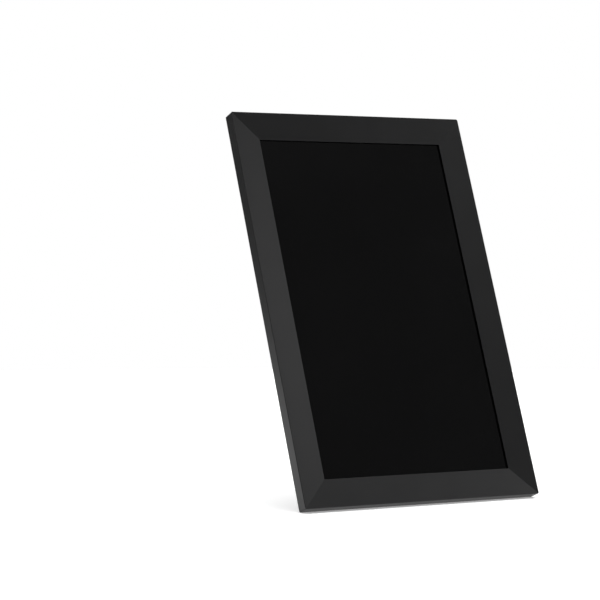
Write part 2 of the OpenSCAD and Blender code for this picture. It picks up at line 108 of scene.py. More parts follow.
# The bay's floor runs out of the sloping side this far below the side's foot
BAY_FLOOR_END = 0.38
BLOCK_TOP = 117
CAVITY_FOOT = 3.2
CAVITY_TOP = 2.5
POST_X = 24
POST_ROWS = (110, 150)
POST_HEAD_R = 3
POST_HEAD_SINK = 1
POST_HOLE_R = 1.65
BUSH_R = 6.5
STOP_R = (9.4, 12.4)
STOP_H = 1.9
STOP_SPAN = 14
STOP_ANGLES = (-76, -208)

# Openings in the bay's inner wall: place across, height and radius (or half sizes)
JACK = (26, 12.7, 3.2)
USB = (17.2, 11.9, 4.65, 1.8)
BUTTON = (9.6, 12.4, 2.08)
LEAD_IN = 0.2

# Insert: speaker holes, dimples and keyhole (head and slot end, head radius, slot width)
INSERT_GAP = 0.1
INSERT_EDGE = 0.2
HOLE_R = 0.65
HOLE_EDGE = 0.08
HOLE_PITCH = 3.5
ROW_PITCH = 3.6
CLUSTER = (24.5, 85.4)
SOUND_HALF = (6, 12.4)
SOUND_R = 0.6
KEYHOLE = (25, 30.6, 4, 3.8)
KEY_EDGE = 0.35
DIMPLE_R = 0.78
DIMPLE_DEPTH = 0.6
DIMPLE_BOWL = ((1, 0), (0.9, 0.45), (0.6, 0.85))
DIMPLE_MARGIN = 2.1
DIMPLE_TO_HOLE = 1.2
DIMPLE_TO_KEYHOLE = 1.7
DIMPLE_TO_PIVOT = 2

# Power button: the cap, and the flange that keeps it in
BUTTON_R = 2
BUTTON_PROUD = 0.6
BUTTON_RIM = 0.25
BUTTON_DISH = ((0.75, 0.03), (0.4, 0.12), (0, 0.15))
FLANGE_OUT = 0.6
FLANGE_FROM, FLANGE_TO = 0.9, 0.1

# Leg
PIVOT_Y = 86.5
LEG_HALF = 14.6
LEG_T = 2.8
LEG_Z = 24.9
CREASE_Y = 74
LEG_SLOPE = math.radians(20)
TOE_TOP = 3.2
TOE_R = 4
CREASE_R = 1.2
TOE_PULL = 2
LEG_EDGE = 0.5
BOSS_R = 5
BOSS_PAST_ROOF = 0.65
SPIGOT_R = 3.5
SPIGOT_LENGTH = 1.05
PAD_CUT = 15
PAD_INSET = 2.9
PAD_SINK = 0.4

TINY = 1e-4


# ---------------------------------------------------------------- outlines
def arc(cx, cy, r, a0, a1, n):
    """Points along an arc, both ends included. Angles are in degrees."""
    turn = np.radians(np.linspace(a0, a1, n + 1))
    return [(cx + r * math.cos(a), cy + r * math.sin(a)) for a in turn]


def circle(cx, cy, r, n):
    return arc(cx, cy, r, 0, 360, n)[:-1]


def round_rect(half_w, half_h, r, n, cy=MID_Y):
    """A rectangle with round corners, n pieces to each corner."""
    points = []
    for k, (sx, sy) in enumerate(((1, 1), (-1, 1), (-1, -1), (1, -1))):
        points += arc(sx * (half_w - r), cy + sy * (half_h - r), r, 90 * k, 90 * k + 90, n)
    return points


def stadium(r, half, n, cy=MID_Y):
    """An upright outline with round ends, half of its length given."""
    top = arc(0, cy + half - r, r, 0, 180, n)
    return top + arc(0, cy - half + r, r, 180, 360, n)


def divided(points, step, closed=True):
    """The same outline with its long stretches cut into equal pieces."""
    made = []
    count = len(points) if closed else len(points) - 1
    for i in range(count):
        a, b = np.array(points[i]), np.array(points[(i + 1) % len(points)])
        n = max(1, math.ceil(np.linalg.norm(b - a) / step - 1e-6))
        made += [tuple(a + (b - a) * k / n) for k in range(n)]
    return made if closed else made + [tuple(points[-1])]


def inside(points, outline):
    """Which of the points lie inside the outline."""
    p = np.asarray(points, float)
    found = np.zeros(len(p), bool)
    a = np.asarray(outline, float)
    b = np.roll(a, -1, axis=0)
    for (x0, y0), (x1, y1) in zip(a, b):
        if y0 == y1:
            continue
        crosses = (y0 > p[:, 1]) != (y1 > p[:, 1])
        at = x0 + (p[:, 1] - y0) * (x1 - x0) / (y1 - y0)
        found ^= crosses & (p[:, 0] < at)
    return found


def away_from(points, outline, gap):
    """Which of the points are at least gap from the outline's own points."""
    p = np.asarray(points, float)
    near = np.full(len(p), 1e9)
    for q in outline:
        near = np.minimum(near, np.hypot(p[:, 0] - q[0], p[:, 1] - q[1]))
    return near >= gap


def grid(x0, x1, y0, y1, step):
    """Staggered points, for filling a face evenly."""
    points = []
    for j, y in enumerate(np.arange(y0, y1, step * 0.87)):
        points += [(x + (j % 2) * step / 2, y) for x in np.arange(x0, x1, step)]
    return points


def loop_edges(start, count, closed=True):
    edges = [(start + i, start + i + 1) for i in range(count - 1)]
    return edges + [(start + count - 1, start)] if closed else edges


# ---------------------------------------------------------------- meshes
class Skin:
    """A mesh in the making. Points that coincide become one vertex, so that faces join up."""

    def __init__(self):
        self.index = {}
        self.points = []
        self.faces = []

    def vertex(self, p):
        key = tuple(round(c * 2000) for c in p)
        if key not in self.index:
            self.index[key] = len(self.points)
            self.points.append(tuple(p))
        return self.index[key]

    def face(self, corners):
        ids = []
        for p in corners:
            i = self.vertex(p)
            if i not in ids:
                ids.append(i)
        if len(ids) > 2:
            self.faces.append(ids)

    def strip(self, a, b, closed=True):
        """Quads between two rows of the same number of points."""
        n = len(a)
        for i in range(n if closed else n - 1):
            j = (i + 1) % n
            self.face([a[i], a[j], b[j], b[i]])

    def rows(self, rows, closed=True):
        for a, b in zip(rows, rows[1:]):
            self.strip(a, b, closed)

    def fill(self, outer, holes, lines, extra, place):
        """Triangles inside outer and outside the holes, that keep to the lines. place turns
        the flat points into points in space."""
        flat, edges = [], []
        for loop in [outer, *holes]:
            edges += loop_edges(len(flat), len(loop))
            flat += [tuple(p) for p in loop]
        for line in lines:
            edges += loop_edges(len(flat), len(line), closed=False)
            flat += [tuple(p) for p in line]
        flat += [tuple(p) for p in extra]
        made = delaunay_2d_cdt([Vector(p) for p in flat], edges, [], 0, 1e-5, False)
        points = np.array([(p.x, p.y) for p in made[0]])
        faces = [f for f in made[2] if len(f) == 3]
        centres = np.array([points[list(f)].mean(axis=0) for f in faces])
        keep = inside(centres, outer)
        for hole in holes:
            keep &= ~inside(centres, hole)
        placed = place(points)
        for f, wanted in zip(faces, keep):
            if wanted:
                self.face([placed[i] for i in f])

    def piece(self, name, matrix, sharp_deg=35, weighted=True):
        """The finished object, in metres in the frame's place."""
        mesh = bpy.data.meshes.new(name)
        mesh.from_pydata([matrix @ Vector(p) for p in self.points], [], self.faces)
        bm = bmesh.new()
        bm.from_mesh(mesh)
        bmesh.ops.dissolve_degenerate(bm, dist=1e-7, edges=bm.edges[:])
        bmesh.ops.recalc_face_normals(bm, faces=bm.faces[:])
        bm.to_mesh(mesh)
        bm.free()
        mesh.shade_smooth()
        mesh.set_sharp_from_angle(angle=math.radians(sharp_deg))
        obj = bpy.data.objects.new(name, mesh)
        bpy.context.scene.collection.objects.link(obj)
        if weighted:
            obj.modifiers.new("weights", "WEIGHTED_NORMAL").keep_sharp = True
        return obj


def raised(outline, z):
    """Flat points at one height, or at a height for each point."""
    heights = z if np.ndim(z) else [z] * len(outline)
    return [(p[0], p[1], h) for p, h in zip(outline, heights)]


def at_height(z):
    return lambda points: raised(points, z)


def grown(outline, gap):
    """A closed outline moved outwards by gap along its own normals (inwards if negative)."""
    p = np.array(outline, float)
    along = np.roll(p, -1, axis=0) - np.roll(p, 1, axis=0)
    along /= np.linalg.norm(along, axis=1)[:, None]
    out = np.stack([along[:, 1], -along[:, 0]], axis=1)
    q = np.roll(p, -1, axis=0)
    turn = np.sum(p[:, 0] * q[:, 1] - q[:, 0] * p[:, 1])
    return [tuple(x) for x in p + out * gap * np.sign(turn)]


def dress(obj, body, slot, material, *nodes):
    obj.data.materials.clear()
    obj.data.materials.append(material)
    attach(obj, body)
    if nodes:
        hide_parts(*nodes)


# ---------------------------------------------------------------- materials
class Nodes:
    """Short names for building one material's node tree."""

    def __init__(self, name):
        self.material = bpy.data.materials.new(name)
        self.material.use_nodes = True
        self.tree = self.material.node_tree
        self.shader = self.tree.nodes["Principled BSDF"]
        self.place = self.add("ShaderNodeTexCoord").outputs["Object"]

    def add(self, kind, **settings):
        node = self.tree.nodes.new(kind)
        for key, value in settings.items():
            setattr(node, key, value)
        return node

    def link(self, a, b):
        self.tree.links.new(a, b)

    def set(self, **values):
        for key, value in values.items():
            self.shader.inputs[key.replace("_", " ")].default_value = value

    def noise(self, size_mm, detail=3, roughness=0.5, stretch=(1, 1, 1)):
        """Noise whose features are about size_mm across."""
        mapping = self.add("ShaderNodeMapping")
        mapping.inputs["Scale"].default_value = stretch
        self.link(self.place, mapping.inputs["Vector"])
        node = self.add("ShaderNodeTexNoise")
        node.inputs["Scale"].default_value = 1 / (size_mm * MM)
        node.inputs["Detail"].default_value = detail
        node.inputs["Roughness"].default_value = roughness
        self.link(mapping.outputs["Vector"], node.inputs["Vector"])
        return node.outputs["Fac"]

    def spread(self, value, low, high, socket):
        """Maps a noise value to a range and plugs it into a shader socket."""
        node = self.add("ShaderNodeMapRange")
        node.inputs["From Min"].default_value = 0.3
        node.inputs["From Max"].default_value = 0.7
        node.inputs["To Min"].default_value = low
        node.inputs["To Max"].default_value = high
        self.link(value, node.inputs["Value"])
        self.link(node.outputs["Result"], self.shader.inputs[socket])

    def colours(self, value, dark, light, lo_in=0.35, hi_in=0.65):
        """Maps a texture value to a base colour between dark and light."""
        node = self.add("ShaderNodeValToRGB")
        node.color_ramp.elements[0].position = lo_in
        node.color_ramp.elements[0].color = (*dark, 1)
        node.color_ramp.elements[1].position = hi_in
        node.color_ramp.elements[1].color = (*light, 1)
        self.link(value, node.inputs["Fac"])
        self.link(node.outputs["Color"], self.shader.inputs["Base Color"])

    def bump(self, height, depth_mm):
        node = self.add("ShaderNodeBump")
        node.inputs["Strength"].default_value = 1
        node.inputs["Distance"].default_value = depth_mm * MM
        self.link(height, node.inputs["Height"])
        self.link(node.outputs["Normal"], self.shader.inputs["Normal"])


def tinted(colour, k):
    return tuple(c * k for c in colour)


def plastic(name, colour, rough, grain_mm=0.35, depth_mm=0.012, vary=0.12, specular=0.5):
    """Moulded plastic: a fine spark-eroded grain with slow changes of tone and gloss."""
    n = Nodes(name)
    n.set(Specular_IOR_Level=specular)
    n.colours(n.noise(30, 2), tinted(colour, 1 - vary), tinted(colour, 1 + vary))
    n.spread(n.noise(14, 2), rough - 0.008, rough + 0.008, "Roughness")
    n.bump(n.noise(grain_mm, 2, 0.6), depth_mm)
    return n.material


def metal(name, colour, rough, grain_mm=0.5, stretch=(1, 1, 1)):
    n = Nodes(name)
    n.set(Metallic=1.0)
    n.colours(n.noise(4, 4), tinted(colour, 0.85), tinted(colour, 1.1))
    n.spread(n.noise(grain_mm, 4, 0.6, stretch), rough - 0.08, rough + 0.1, "Roughness")
    n.bump(n.noise(grain_mm, 3, 0.6, stretch), 0.01)
    return n.material


def glass_front(name):
    """Cover glass over a switched-off screen: black, glossy, with faint smears."""
    n = Nodes(name)
    n.set(IOR=1.5)
    n.colours(n.noise(60, 2), (0.0008, 0.0008, 0.0009), (0.0012, 0.0012, 0.0013))
    n.spread(n.noise(18, 4, 0.6, (1, 0.5, 1)), 0.045, 0.085, "Roughness")
    return n.material


def board(name):
    n = Nodes(name)
    cells = n.add("ShaderNodeTexVoronoi", feature="DISTANCE_TO_EDGE")
    cells.inputs["Scale"].default_value = 1 / (2.5 * MM)
    n.link(n.place, cells.inputs["Vector"])
    n.colours(cells.outputs["Distance"], (0.02, 0.12, 0.05), (0.01, 0.06, 0.03), 0.02, 0.06)
    n.spread(n.noise(3, 3), 0.3, 0.45, "Roughness")
    n.bump(cells.outputs["Distance"], 0.03)
    return n.material


def cloth(name):
    n = Nodes(name)
    wave = n.add("ShaderNodeTexWave")
    wave.inputs["Scale"].default_value = 1 / (0.9 * MM)
    n.link(n.place, wave.inputs["Vector"])
    n.colours(wave.outputs["Fac"], (0.003, 0.003, 0.003), (0.012, 0.012, 0.012))
    n.set(Roughness=0.9)
    n.bump(wave.outputs["Fac"], 0.05)
    return n.material


# Colour and roughness, then grain size and depth in mm, change of tone and specular level
PLASTICS = {
    "frame_black": ((0.009, 0.009, 0.0093), 0.3, 0.3, 0.006, 0.05, 0.3),
    "cover_black": ((0.0058, 0.0058, 0.006), 0.42, 0.35, 0.01, 0.06, 0.2),
    "insert_black": ((0.0042, 0.0042, 0.0044), 0.45, 0.3, 0.01, 0.1, 0.12),
    "leg_black": ((0.006, 0.006, 0.0062), 0.36, 0.4, 0.01, 0.06, 0.1),
    "button_black": ((0.014, 0.014, 0.0144), 0.38, 0.3, 0.01, 0.1, 0.3),
    "port_black": ((0.01, 0.01, 0.01), 0.45),
    "lcd": ((0.02, 0.02, 0.03), 0.25),
    "tape": ((0.008, 0.008, 0.008), 0.7),
    "diffuser": ((0.75, 0.75, 0.72), 0.5),
    "flex_amber": ((0.45, 0.2, 0.04), 0.35),
    "flex_dark": ((0.03, 0.03, 0.035), 0.4),
    "cone_paper": ((0.025, 0.025, 0.028), 0.8, 0.6, 0.05),
    "foam": ((0.02, 0.02, 0.02), 0.9, 0.5, 0.08),
    "bush_plastic": ((0.6, 0.6, 0.57), 0.4),
    "foot_rubber": ((0.012, 0.012, 0.012), 0.75, 0.5, 0.03),
}
# Colour and roughness, then grain size in mm and how the grain is stretched
METALS = {
    "tray_metal": ((0.5, 0.51, 0.52), 0.42, 0.6, (1, 12, 1)),
    "tin": ((0.66, 0.67, 0.68), 0.32),
    "plate_steel": ((0.52, 0.53, 0.54), 0.4, 0.5, (10, 1, 1)),
    "screw_steel": ((0.58, 0.58, 0.6), 0.3, 0.3),
    "spring_bronze": ((0.55, 0.38, 0.16), 0.35),
}
MATERIALS = {name: plastic(name, *values) for name, values in PLASTICS.items()}
MATERIALS |= {name: metal(name, *values) for name, values in METALS.items()}
MATERIALS["screen_glass"] = glass_front("screen_glass")
MATERIALS["circuit_board"] = board("circuit_board")
MATERIALS["mesh_cloth"] = cloth("mesh_cloth")


# ---------------------------------------------------------------- front frame
def swept_frame(skin, profile, turns=6):
    """Carries a profile of (inset, height) points round the frame's rectangle."""
    half_w, half_h = FRAME_W / 2, FRAME_H / 2
    rows = []
    for inset, z in profile:
        r = max(CORNER_R - inset, 0)
        keep = max(inset, CORNER_R)
        row = []
        for k, (sx, sy) in enumerate(((1, 1), (-1, 1), (-1, -1), (1, -1))):
            corner = (sx * (half_w - keep), MID_Y + sy * (half_h - keep))
            row += [(*p, z) for p in arc(*corner, r, 90 * k, 90 * k + 90, turns)]
        rows.append(row)
    skin.rows(rows + [rows[0]])


def front_frame():
    wall_in = BEZEL_FALL + WINDOW_LIP
    back_in = FRAME_D - BACK_EDGE_R
    tilt = math.degrees(math.atan2(BEZEL_FALL, BEZEL))
    profile = arc(BACK_EDGE_R, back_in, BACK_EDGE_R, 90, 180, 4)
    profile += arc(OUTER_EDGE_R, OUTER_EDGE_R, OUTER_EDGE_R, 180, 270 + tilt, 4)
    profile.append((CORNER_R, BEZEL_FALL * CORNER_R / BEZEL))
    profile += arc(BEZEL - WINDOW_EDGE_R, BEZEL_FALL + WINDOW_EDGE_R, WINDOW_EDGE_R,
                   270 + tilt, 360, 3)
    profile += [(BEZEL, BEZEL_FALL + WINDOW_EDGE_T), (BEZEL - WINDOW_RELIEF, wall_in),
                (LIP, wall_in)]
    profile += arc(LIP - BACK_EDGE_R, back_in, BACK_EDGE_R, 0, 90, 4)
    skin = Skin()
    swept_frame(skin, profile)
    obj = skin.piece("front_frame_shell", PANEL, 30)
    mark_mitres(obj)
    dress(obj, "housing", "frame_black", MATERIALS["frame_black"], "front_frame")


def mark_mitres(obj):
    """The four bezel faces meet in crisp mitred lines, from the outer corner to the wall."""
    same, least_run = 0.02, 0.005
    half_w, half_h = FRAME_W / 2, FRAME_H / 2
    back = PANEL.inverted()
    for edge in obj.data.edges:
        ends = [back @ obj.data.vertices[i].co for i in edge.vertices]
        insets = [(half_w - abs(p.x), half_h - abs(p.y - MID_Y)) for p in ends]
        on_mitre = all(abs(a - b) < same for a, b in insets)
        if on_mitre and abs(insets[0][0] - insets[1][0]) > least_run:
            edge.use_edge_sharp = True


front_frame()


# ---------------------------------------------------------------- rear cover
def hull_height(points, foot_half, foot_r, foot_z, top_half, top_r, top_z):
    """Height of the shape that joins a round-cornered foot to a smaller stadium above it.
    Each level between them is a round-cornered rectangle, so its level is found by halving."""
    p = np.abs(np.asarray(points, float) - (0, MID_Y))
    core = np.array(foot_half) - foot_r
    low = np.zeros(len(p))
    high = np.ones(len(p))
    for _ in range(30):
        t = (low + high) / 2
        a = (1 - t) * core[0]
        b = (1 - t) * core[1] + t * (top_half - top_r)
        r = (1 - t) * foot_r + t * top_r
        qx, qy = p[:, 0] - a, p[:, 1] - b
        out = np.hypot(np.maximum(qx, 0), np.maximum(qy, 0))
        is_in = out + np.minimum(np.maximum(qx, qy), 0) <= r
        low = np.where(is_in, t, low)
        high = np.where(is_in, high, t)
    return foot_z + (top_z - foot_z) * low


def hump(points):
    """Height of the cover's back."""
    return hull_height(points, FOOT_HALF, FOOT_R, PLATE_BACK, TOP_HALF, TOP_R, TOP_Z)


def cavity(points):
    """Height of the hollow inside the cover."""
    half = (FOOT_HALF[0] - CAVITY_FOOT, FOOT_HALF[1] - CAVITY_FOOT)
    return hull_height(points, half, FOOT_R - CAVITY_FOOT, PLATE_FRONT, TOP_HALF + CAVITY_TOP,
                       TOP_R + CAVITY_TOP, ROOF_Z)


def bay_distance(points):
    """Distance from the bay's outline, less than zero inside it. The bay is open at the top."""
    p = np.asarray(points, float)
    qx = np.abs(p[:, 0]) - (BAY_HALF - BAY_R)
    qy = (BAY_Y + BAY_R) - p[:, 1]
    out = np.hypot(np.maximum(qx, 0), np.maximum(qy, 0))
    return out + np.minimum(np.maximum(qx, qy), 0) - BAY_R


def bay_line(grow, end_y, step=2.5):
    """The bay's U-shaped outline from its upper left end round to its upper right end."""
    r = BAY_R + grow
    half, low = BAY_HALF + grow, BAY_Y - grow
    line = [(-half, end_y)] + arc(-half + r, low + r, r, 180, 270, 12)
    line += arc(half - r, low + r, r, 270, 360, 12) + [(half, end_y)]
    return divided(line, step, closed=False)


def bay_floor(points):
    """The bay's floor: level with the rim at the top, and rising a little towards the ports."""
    p = np.asarray(points, float)
    return BAY_TOP_Z + BAY_RISE * np.maximum(MID_Y + FOOT_HALF[1] - p[:, 1], 0)


def quarter(d, r):
    """How far a quarter-round edge of radius r has fallen at distance d from its foot."""
    r = np.maximum(r, 1e-6)
    d = np.clip(d, 0, r)
    return r - np.sqrt(np.maximum(r * r - (r - d) ** 2, 0))


def cover_outside(points):
    """Height of the back face outside the bay, falling away over the bay's rounded edge."""
    z = hump(points)
    edge = np.minimum(BAY_EDGE_R, 0.6 * np.maximum(z - bay_floor(points), 0))
    return z - quarter(bay_distance(points), edge)


def cover_in_bay(points):
    """Height of the bay's floor, with a small round where it meets the walls."""
    z, low = hump(points), bay_floor(points)
    corner = np.minimum(BAY_CORNER_R, 0.35 * np.maximum(z - low, 0))
    rise = quarter(-bay_distance(points), corner)
    return np.minimum(z, low + rise)


def level_outline(t, n=22, step=5):
    """The raised part's outline at a share t of its height."""
    core_w = (1 - t) * (FOOT_HALF[0] - FOOT_R)
    core_h = (1 - t) * (FOOT_HALF[1] - FOOT_R) + t * (TOP_HALF - TOP_R)
    r = (1 - t) * FOOT_R + t * TOP_R
    return divided(round_rect(core_w + r, core_h + r, r, n), step)


def keyhole_line(grow):
    head_x, end_x, head_r, slot_w = KEYHOLE
    r, half = head_r + grow, slot_w / 2 + grow
    bite = math.degrees(math.asin(half / r))
    line = arc(head_x, MID_Y, r, bite, 360 - bite, 24)
    return divided(line + arc(end_x, MID_Y, half, -90, 90, 10), 1.2)


def slot_line(cx, cy, half_w, half_h):
    return [(cx + x, y) for x, y in round_rect(half_w, half_h, half_h - TINY, 8, cy)]


def speaker_window(side):
    """The opening behind one side's speaker holes, centred on their four columns."""
    cx = side * (CLUSTER[0] - 1.5 * HOLE_PITCH)
    return [(cx + x, y) for x, y in round_rect(*SOUND_HALF, SOUND_R, 3, CLUSTER[1])]


def post_places():
    return [(x, y) for x in (-POST_X, POST_X) for y in POST_ROWS]


def stop_outline(angle):
    """One of the two blocks that the leg's plate runs up against."""
    outer = arc(0, PIVOT_Y, STOP_R[1], angle, angle + STOP_SPAN, 4)
    return outer + arc(0, PIVOT_Y, STOP_R[0], angle + STOP_SPAN, angle, 4)


def port_lines(grow):
    """The three openings in the bay's inner wall, as outlines across (x, height)."""
    jack = circle(*JACK[:2], JACK[2] + grow, 32)
    button = circle(*BUTTON[:2], BUTTON[2] + grow, 28)
    x, z, half_w, half_t = USB
    return [jack, button, slot_line(x, z, half_w + grow, half_t + grow)]


def bay_wall(skin, y, line, high, low, openings):
    """The wall along the bay's outline: plain round the corners, pierced where it is straight."""
    flat = [i for i, p in enumerate(line) if abs(p[1] - y) < 1e-6]
    first, last = flat[0], flat[-1]
    tops, feet = raised(line, high), raised(line, low)
    for part in (slice(0, first + 1), slice(last, None)):
        skin.strip(tops[part], feet[part], closed=False)
    outer = [(p[0], p[2]) for p in tops[first:last + 1]]
    outer += [(p[0], p[2]) for p in reversed(feet[first:last + 1])]
    skin.fill(outer, openings, [], [], lambda flat: [(x, y, z) for x, z in flat])


def rear_cover():
    skin = Skin()
    half_w = FRAME_W / 2 - LIP - PLATE_GAP
    half_h = FRAME_H / 2 - LIP - PLATE_GAP
    rim = divided([(half_w, MID_Y - half_h), (half_w, MID_Y + half_h),
                   (-half_w, MID_Y + half_h), (-half_w, MID_Y - half_h)], 6)

    # Back face: rim, sloping sides and the rounded edge of the bay
    foot_top = MID_Y + FOOT_HALF[1]
    bay_top = foot_top - BAY_TOP_GAP
    bay = bay_line(0, bay_top)
    pocket = divided(stadium(INSERT_R, INSERT_HALF, 40), 3)
    foot = level_outline(0)
    lines = [closed_line(foot), closed_line(grown(foot, 0.2)), *clear_runs(grown(foot, -0.25)),
             closed_line(level_outline(1, 40, 3)), closed_line(level_outline(0.99, 40, 3))]
    for share in (0.04, 0.12, 0.26, 0.45, 0.7, 1.0):
        lines.append(bay_line(BAY_EDGE_R * share, bay_top))
    extra = [p for t in np.linspace(0.05, 0.93, 15) for p in level_outline(t)]
    clear = bay_distance(extra) > BAY_EDGE_R + 1.2
    extra = [p for p, wanted in zip(extra, clear) if wanted]
    skin.fill(rim, [bay, pocket], lines, extra, lambda p: raised(p, cover_outside(p)))

    # Bay floor
    floor_end = foot_top - BAY_FLOOR_END
    lines = [bay_line(-BAY_CORNER_R * share, bay_top) for share in (0.1, 0.3, 0.6, 1.0)]
    lines = [[p for p in line if p[1] < bay_top - 0.05] for line in lines]
    for y in (floor_end - 0.2, floor_end, floor_end + 0.15):
        lines.append([(-BAY_HALF + 1.2, y), (BAY_HALF - 1.2, y)])
    extra = grid(-BAY_HALF + 3, BAY_HALF - 2.5, BAY_Y + 3, floor_end - 2, 5)
    extra = [p for p, d in zip(extra, bay_distance(extra)) if d < -2]
    skin.fill(bay, [], lines, extra, lambda p: raised(p, cover_in_bay(p)))

    # Wall of the bay with its three openings, each with a small lead-in
    openings, throats = port_lines(LEAD_IN), port_lines(0)
    bay_wall(skin, BAY_Y, bay, cover_outside(bay), cover_in_bay(bay), openings)
    inner_y = BAY_Y - BAY_WALL
    for wide, narrow in zip(openings, throats):
        skin.rows([[(x, y, z) for x, z in line] for line, y in
                   ((wide, BAY_Y), (narrow, BAY_Y - LEAD_IN), (narrow, inner_y))])

    # Pocket for the insert, and everything that goes through its floor
    skin.strip(raised(pocket, cover_outside(pocket)), raised(pocket, SHELF_Z))
    windows = [speaker_window(-1), speaker_window(1)]
    holes = windows + [keyhole_line(0), circle(0, PIVOT_Y, BUSH_R, 48)]
    heads = [circle(x, y, POST_HEAD_R, 24) for x, y in post_places()]
    shanks = [circle(x, y, POST_HOLE_R, 24) for x, y in post_places()]
    skin.fill(pocket, holes + heads, [], [], at_height(SHELF_Z))
    for line in holes:
        skin.strip(raised(line, SHELF_Z), raised(line, ROOF_Z))
    seat = SHELF_Z - POST_HEAD_SINK
    for head, shank in zip(heads, shanks):
        skin.rows([raised(head, SHELF_Z), raised(head, seat), raised(shank, seat),
                   raised(shank, ROOF_Z)])

    # Inside: the cavity, the back of the bay and the two stops for the leg
    block = bay_line(BAY_WALL, MID_Y + BLOCK_TOP, 4)
    stops = [stop_outline(angle) for angle in STOP_ANGLES]
    roof = divided(stadium(TOP_R + CAVITY_TOP, TOP_HALF + CAVITY_TOP, 24), 6)
    cavity_foot = divided(round_rect(FOOT_HALF[0] - CAVITY_FOOT, FOOT_HALF[1] - CAVITY_FOOT,
                                     FOOT_R - CAVITY_FOOT, 12), 8)
    extra = [p for t in (0.25, 0.5, 0.75) for p in level_outline(t, 12, 9)
             if bay_distance([p])[0] > BAY_WALL + 2]
    skin.fill(rim, [block, *holes, *shanks, *stops],
              [closed_line(roof), closed_line(cavity_foot)], extra,
              lambda p: raised(p, cavity(p)))
    skin.fill(block, [], [], [], lambda p: raised(p, np.minimum(cavity(p), BAY_BACK)))
    bay_wall(skin, inner_y, block, cavity(block), np.minimum(cavity(block), BAY_BACK), throats)
    for line in stops:
        skin.strip(raised(line, ROOF_Z), raised(line, ROOF_Z - STOP_H))
        skin.fill(line, [], [], [], at_height(ROOF_Z - STOP_H))
    skin.strip(raised(rim, PLATE_BACK), raised(rim, PLATE_FRONT))

    obj = skin.piece("rear_cover_shell", PANEL, 38)
    dress(obj, "housing", "cover_black", MATERIALS["cover_black"], "rear_cover")


def closed_line(outline):
    return list(outline) + [outline[0]]


def clear_runs(outline):
    """The stretches of an outline that lie clear of the bay."""
    line = closed_line(outline)
    runs, run = [], []
    for p, clear in zip(line, bay_distance(line) > BAY_EDGE_R + 0.5):
        if clear:
            run.append(p)
        elif run:
            runs.append(run)
            run = []
    return [r for r in [*runs, run] if len(r) > 1]


rear_cover()


# ---------------------------------------------------------------- dimpled insert
def speaker_holes():
    """Two staggered grids on each side, with the corners of the wider one left off."""
    x0, y0 = CLUSTER
    wide = [(x0 - i * HOLE_PITCH, y0 + j * ROW_PITCH) for i in range(4) for j in range(-3, 4)
            if abs(j) < 3 or 0 < i < 3]
    close = [(x0 - (i + 0.5) * HOLE_PITCH, y0 + (j + 0.5) * ROW_PITCH)
             for i in range(3) for j in range(-3, 3)]
    return [(side * x, y) for side in (-1, 1) for x, y in wide + close]


def dimple_places(outline, holes, keyhole):
    """The speaker holes' own grid carried over the whole insert, clear of its features."""
    columns = math.ceil(INSERT_R / HOLE_PITCH) + 1
    rows = math.ceil(2 * INSERT_HALF / ROW_PITCH)
    spots = []
    for j in range(-rows, rows):
        for i in range(-columns, columns + 1):
            spots.append((i * HOLE_PITCH, CLUSTER[1] + j * ROW_PITCH))
            spots.append(((i + 0.5) * HOLE_PITCH, CLUSTER[1] + (j + 0.5) * ROW_PITCH))
    spots = np.array(spots)
    keep = inside(spots, grown(outline, -DIMPLE_MARGIN))
    keep &= away_from(spots, holes, DIMPLE_TO_HOLE)
    keep &= away_from(spots, keyhole, DIMPLE_TO_KEYHOLE) & ~inside(spots, keyhole)
    keep &= np.hypot(spots[:, 0], spots[:, 1] - PIVOT_Y) > BUSH_R + DIMPLE_TO_PIVOT
    return [tuple(p) for p in spots[keep]]


def rounded_rim(outline, edge, side, turns):
    """Rows up the wall of the insert and over a round edge, to the outline's side given."""
    rows = [raised(outline, SHELF_Z), raised(outline, TOP_Z - edge)]
    for a in map(math.radians, turns):
        rows.append(raised(grown(outline, side * edge * (1 - math.cos(a))),
                           TOP_Z - edge * (1 - math.sin(a))))
    return rows


def back_insert():
    skin = Skin()
    outline = divided(stadium(INSERT_R - INSERT_GAP, INSERT_HALF - INSERT_GAP, 40), 3)
    rows = rounded_rim(outline, INSERT_EDGE, -1, (30, 60, 90))
    skin.rows(rows)
    face = [p[:2] for p in rows[-1]]

    places = speaker_holes()
    holes = [circle(x, y, HOLE_R, 12) for x, y in places]
    mouths = [circle(x, y, HOLE_R + HOLE_EDGE, 12) for x, y in places]
    keyhole = keyhole_line(0)
    key_rows = rounded_rim(keyhole, KEY_EDGE, 1, (25, 50, 70, 90))
    skin.rows(key_rows)
    key_mouth = [p[:2] for p in key_rows[-1]]
    centre = circle(0, PIVOT_Y, BUSH_R, 48)
    skin.strip(raised(centre, SHELF_Z), raised(centre, TOP_Z))
    for mouth, hole in zip(mouths, holes):
        skin.rows([raised(mouth, TOP_Z), raised(hole, TOP_Z - HOLE_EDGE),
                   raised(hole, SHELF_Z)])

    rims = []
    for x, y in dimple_places(outline, places, key_mouth):
        rows = [raised(circle(x, y, wide * DIMPLE_R, 12), TOP_Z - drop * DIMPLE_DEPTH)
                for wide, drop in DIMPLE_BOWL]
        skin.rows(rows)
        bottom = (x, y, TOP_Z - DIMPLE_DEPTH)
        for a, b in zip(rows[-1], rows[-1][1:] + rows[-1][:1]):
            skin.face([a, b, bottom])
        rims.append([p[:2] for p in rows[0]])

    skin.fill(face, [key_mouth, centre, *mouths, *rims], [], [], at_height(TOP_Z))
    skin.fill(outline, [keyhole, centre, *holes], [], [], at_height(SHELF_Z))
    obj = skin.piece("back_insert_dimpled", PANEL, 27)
    dress(obj, "housing", "insert_black", MATERIALS["insert_black"], "back_insert")


back_insert()


